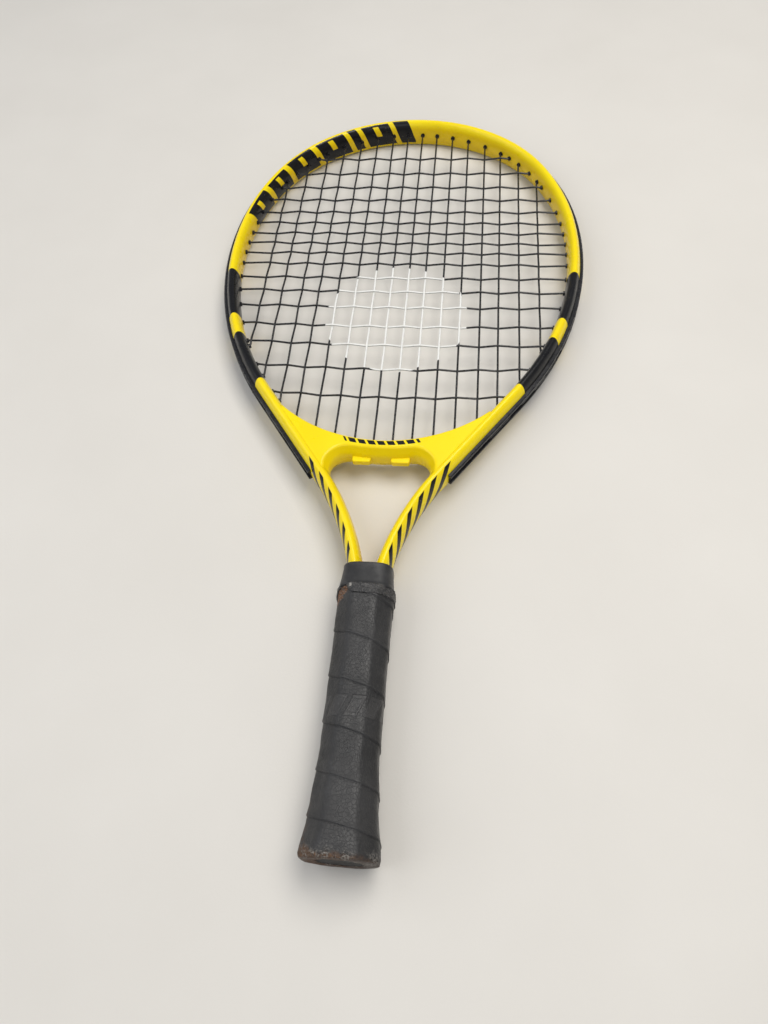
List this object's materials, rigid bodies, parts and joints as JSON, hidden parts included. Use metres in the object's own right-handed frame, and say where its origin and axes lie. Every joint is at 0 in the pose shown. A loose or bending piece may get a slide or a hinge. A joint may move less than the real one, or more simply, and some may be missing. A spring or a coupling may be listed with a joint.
{
  "type": "tennis racket",
  "caption": "Junior tennis racket: bent aluminium tube frame with a moulded throat bridge, strung oval head, bumper guard, grommet strips, taped octagonal grip and rubber collar.",
  "frame": {"origin": "middle of the butt end's flat face", "axes": "+Y along the racket from the butt to the head, +Z square to the string bed, +X to the right; the string bed lies in the plane z = 0"},
  "size_m": [0.243, 0.5334, 0.0332],
  "materials": {
    "frame_paint": "gloss",
    "yoke_paint": "gloss",
    "guard_plastic": "semi-gloss",
    "grommet_plastic": "semi-gloss",
    "string_monofilament": "gloss",
    "foam_shell": "matte",
    "spacer_plastic": "matte",
    "cap_plastic": "satin",
    "staple_steel": "bright",
    "grip_cover": "worn, embossed",
    "band_tape": "matte",
    "collar_rubber": "satin"
  },
  "bodies": {
    "root": {"frame_tube": "frame_paint", "throat_yoke": "yoke_paint", "bumper_guard": "guard_plastic", "left_grommet_strip": "grommet_plastic", "right_grommet_strip": "grommet_plastic", "main_string": "string_monofilament", "cross_string": "string_monofilament", "tie_off_knots": "string_monofilament", "handle_shell_upper": "foam_shell", "handle_shell_lower": "foam_shell", "leg_spacer": "spacer_plastic", "butt_cap": "cap_plastic", "butt_cap_staples": "staple_steel", "grip_tape": "grip_cover", "finishing_tape": "band_tape", "rubber_collar": "collar_rubber"}
  },
  "joints": []
}
